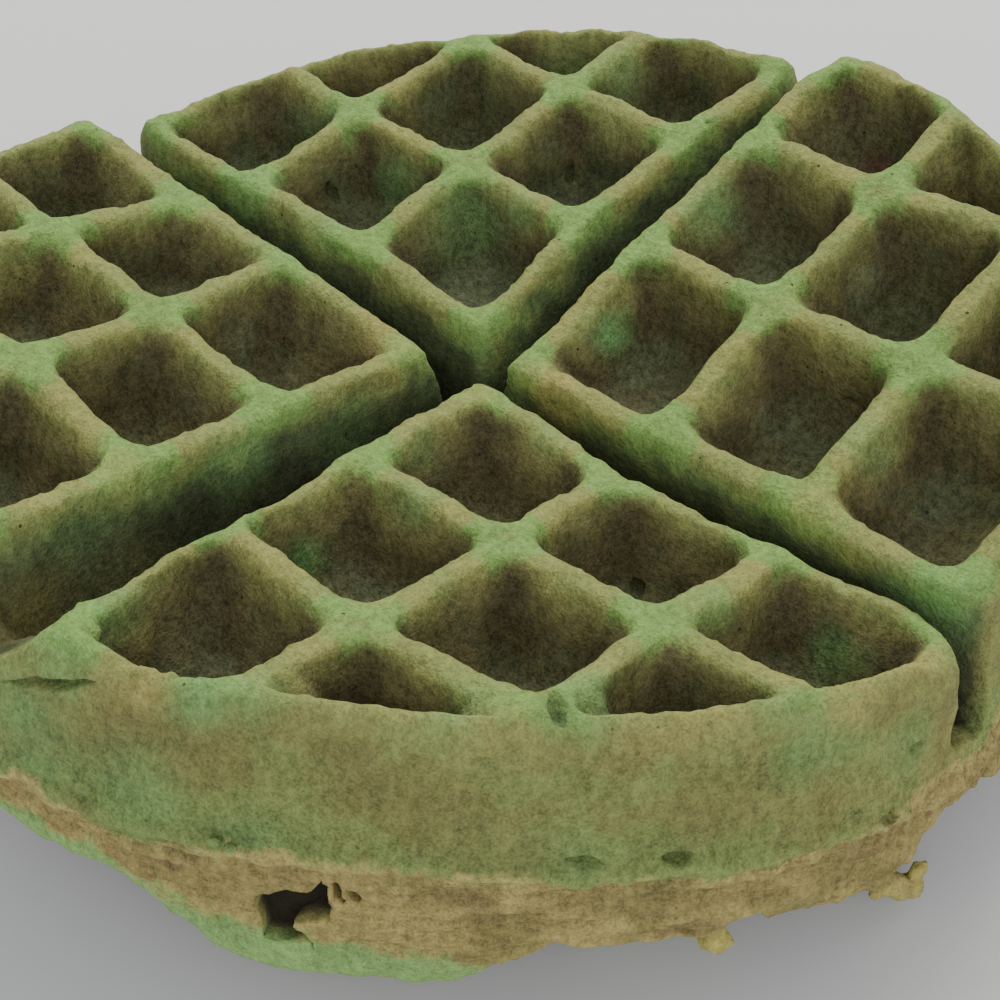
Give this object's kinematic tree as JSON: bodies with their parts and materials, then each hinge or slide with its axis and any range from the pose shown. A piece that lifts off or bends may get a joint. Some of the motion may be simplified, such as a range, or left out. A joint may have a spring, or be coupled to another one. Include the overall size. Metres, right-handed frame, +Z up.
{
  "type": "pandan waffle",
  "caption": "Thick round green waffle, quartered by a cross of deep grooves, with square pockets on both faces and a torn, partly unfilled lower rim.",
  "frame": {"origin": "middle of the waffle's outline, on the surface that it stands on", "axes": "+Z up; the two grooves run along X and Y; the quarter nearest the camera lies at +X and -Y"},
  "size_m": [0.1688, 0.1674, 0.0576],
  "materials": {
    "crust": "baked crust, matte, yellow-green on the ridges and olive brown in the pockets"
  },
  "bodies": {
    "root": {"waffle": "crust"}
  },
  "joints": []
}
